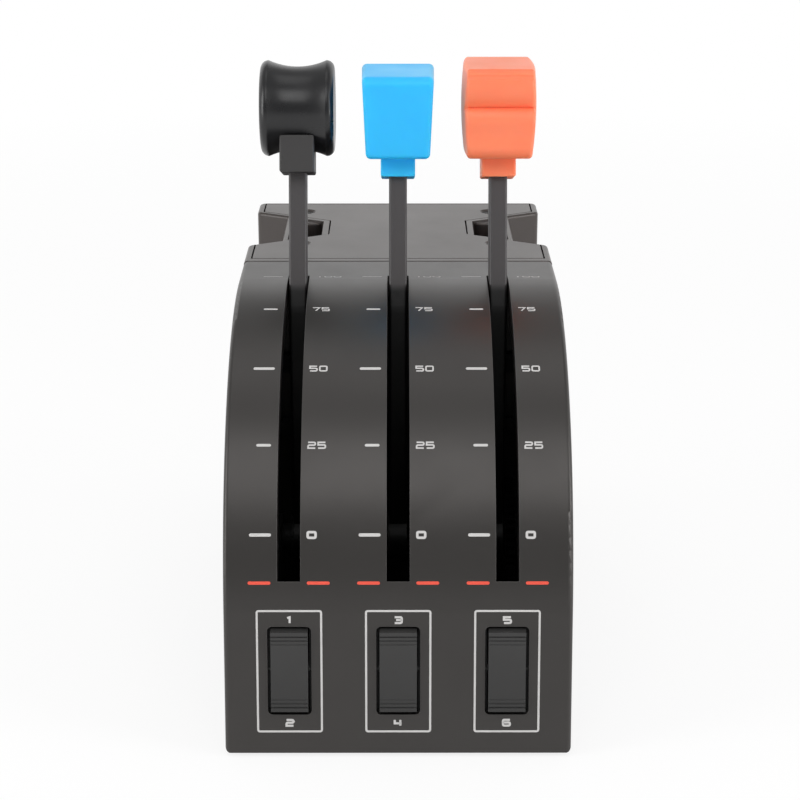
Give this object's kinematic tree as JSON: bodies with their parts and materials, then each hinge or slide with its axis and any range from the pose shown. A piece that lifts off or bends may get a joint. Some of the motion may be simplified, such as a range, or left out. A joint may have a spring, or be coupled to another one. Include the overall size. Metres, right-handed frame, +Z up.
{
  "type": "throttle quadrant",
  "caption": "Desktop throttle quadrant: curved housing with slotted fascia, levers with spool, wedge and ridged grips, rocker switches and a rear desk clamp.",
  "frame": {"origin": "on the standing plane, in the middle of the whole width and length", "axes": "+X to the user's right, +Y away from the user, +Z up"},
  "size_m": [0.118, 0.233, 0.2172],
  "materials": {
    "housing": "satin graphite moulded plastic, fine grain",
    "bracket": "satin graphite moulded plastic",
    "inner_plastic": "plain black moulding",
    "rocker": "black, slightly polished by use",
    "black_grip": "polished black",
    "neck": "satin graphite",
    "blue_grip": "soft gloss blue",
    "orange_grip": "soft gloss orange red",
    "lever_bar": "satin dark grey coating",
    "gear": "natural moulded acetal",
    "sensor_can": "pressed can",
    "steel": "zinc plated",
    "dark_screw": "black oxide",
    "circuit": "green solder mask",
    "lead": "grey ribbon",
    "rubber": "black rubber",
    "thumb_screw": "black lobed wheel on its thread"
  },
  "bodies": {
    "base": {"base_plate": "housing", "base_screws": "steel", "board_screws": "steel", "cable_gland": "rubber", "chassis": "inner_plastic", "chassis_screws": "steel", "circuit_board": "circuit", "clamp_arm": "bracket", "clamp_bolts": "steel", "clamp_cover": "bracket", "clamp_jaw": "bracket", "cover_screws": "dark_screw", "desk_pad": "rubber", "friction_washers": "steel", "front_cover": "housing", "jaw_bolts": "steel", "left_side_shell": "housing", "left_switch_body": "inner_plastic", "lever_shaft": "steel", "middle_switch_body": "inner_plastic", "mixture_sensor": "sensor_can", "propeller_sensor": "sensor_can", "rear_cover": "housing", "right_side_shell": "housing", "right_switch_body": "inner_plastic", "rubber_feet": "rubber", "sensor_leads": "lead", "shaft_spacers": "steel", "switch_leads": "lead", "throttle_sensor": "sensor_can"},
    "throttle_lever_set": {"throttle_lever": "lever_bar", "throttle_sector": "gear", "throttle_knob": "black_grip", "throttle_knob_neck": "neck"},
    "throttle_pinion_set": {"throttle_pinion": "gear"},
    "propeller_lever_set": {"propeller_lever": "lever_bar", "propeller_sector": "gear", "propeller_knob": "blue_grip"},
    "propeller_pinion_set": {"propeller_pinion": "gear"},
    "mixture_lever_set": {"mixture_lever": "lever_bar", "mixture_sector": "gear", "mixture_knob": "orange_grip"},
    "mixture_pinion_set": {"mixture_pinion": "gear"},
    "left_rocker_set": {"left_rocker": "rocker"},
    "middle_rocker_set": {"middle_rocker": "rocker"},
    "right_rocker_set": {"right_rocker": "rocker"},
    "left_pad_set": {"left_clamp_pad": "rubber"},
    "left_thumb_screw_set": {"left_clamp_screw": "thumb_screw"},
    "right_pad_set": {"right_clamp_pad": "rubber"},
    "right_thumb_screw_set": {"right_clamp_screw": "thumb_screw"}
  },
  "joints": [
    {"name": "throttle_lever_hinge", "type": "hinge", "parent": "base", "child": "throttle_lever_set", "pos_m": [-0.0368, -0.00761, 0.0361], "axis": [1, 0, 0], "range_deg": [0, 72]},
    {"name": "throttle_pinion_spin", "type": "hinge", "parent": "base", "child": "throttle_pinion_set", "pos_m": [-0.0368, -0.04307, 0.02985], "axis": [1, 0, 0], "range_deg": [-253, 1]},
    {"name": "propeller_lever_hinge", "type": "hinge", "parent": "base", "child": "propeller_lever_set", "pos_m": [0, -0.00761, 0.0361], "axis": [1, 0, 0], "range_deg": [0, 72]},
    {"name": "propeller_pinion_spin", "type": "hinge", "parent": "base", "child": "propeller_pinion_set", "pos_m": [0, -0.04307, 0.02985], "axis": [1, 0, 0], "range_deg": [-253, 1]},
    {"name": "mixture_lever_hinge", "type": "hinge", "parent": "base", "child": "mixture_lever_set", "pos_m": [0.0368, -0.00761, 0.0361], "axis": [1, 0, 0], "range_deg": [0, 72]},
    {"name": "mixture_pinion_spin", "type": "hinge", "parent": "base", "child": "mixture_pinion_set", "pos_m": [0.0368, -0.04307, 0.02985], "axis": [1, 0, 0], "range_deg": [-253, 1]},
    {"name": "left_rocker_tilt", "type": "hinge", "parent": "base", "child": "left_rocker_set", "pos_m": [-0.0368, -0.10847, 0.02984], "axis": [1, 0, 0], "range_deg": [-8, 8], "stiffness_Nm_per_rad": 0.2},
    {"name": "middle_rocker_tilt", "type": "hinge", "parent": "base", "child": "middle_rocker_set", "pos_m": [0, -0.10847, 0.02984], "axis": [1, 0, 0], "range_deg": [-8, 8], "stiffness_Nm_per_rad": 0.2},
    {"name": "right_rocker_tilt", "type": "hinge", "parent": "base", "child": "right_rocker_set", "pos_m": [0.0368, -0.10847, 0.02984], "axis": [1, 0, 0], "range_deg": [-8, 8], "stiffness_Nm_per_rad": 0.2},
    {"name": "left_pad_slide", "type": "slide", "parent": "base", "child": "left_pad_set", "axis": [0, 0, 1], "range_m": [0, 0.03]},
    {"name": "left_thumb_screw_turn", "type": "hinge", "parent": "left_pad_set", "child": "left_thumb_screw_set", "pos_m": [-0.034, 0.07124, 0.058], "axis": [0, 0, 1], "range_deg": [0, 3600]},
    {"name": "right_pad_slide", "type": "slide", "parent": "base", "child": "right_pad_set", "axis": [0, 0, 1], "range_m": [0, 0.03]},
    {"name": "right_thumb_screw_turn", "type": "hinge", "parent": "right_pad_set", "child": "right_thumb_screw_set", "pos_m": [0.034, 0.07124, 0.058], "axis": [0, 0, 1], "range_deg": [0, 3600]}
  ],
  "couplings": [
    {"joint": "throttle_pinion_spin", "follows": "throttle_lever_hinge", "ratio": -3.5},
    {"joint": "propeller_pinion_spin", "follows": "propeller_lever_hinge", "ratio": -3.5},
    {"joint": "mixture_pinion_spin", "follows": "mixture_lever_hinge", "ratio": -3.5},
    {"joint": "left_thumb_screw_turn", "follows": "left_pad_slide", "rad_per_m": 2094.4},
    {"joint": "right_thumb_screw_turn", "follows": "right_pad_slide", "rad_per_m": 2094.4}
  ]
}
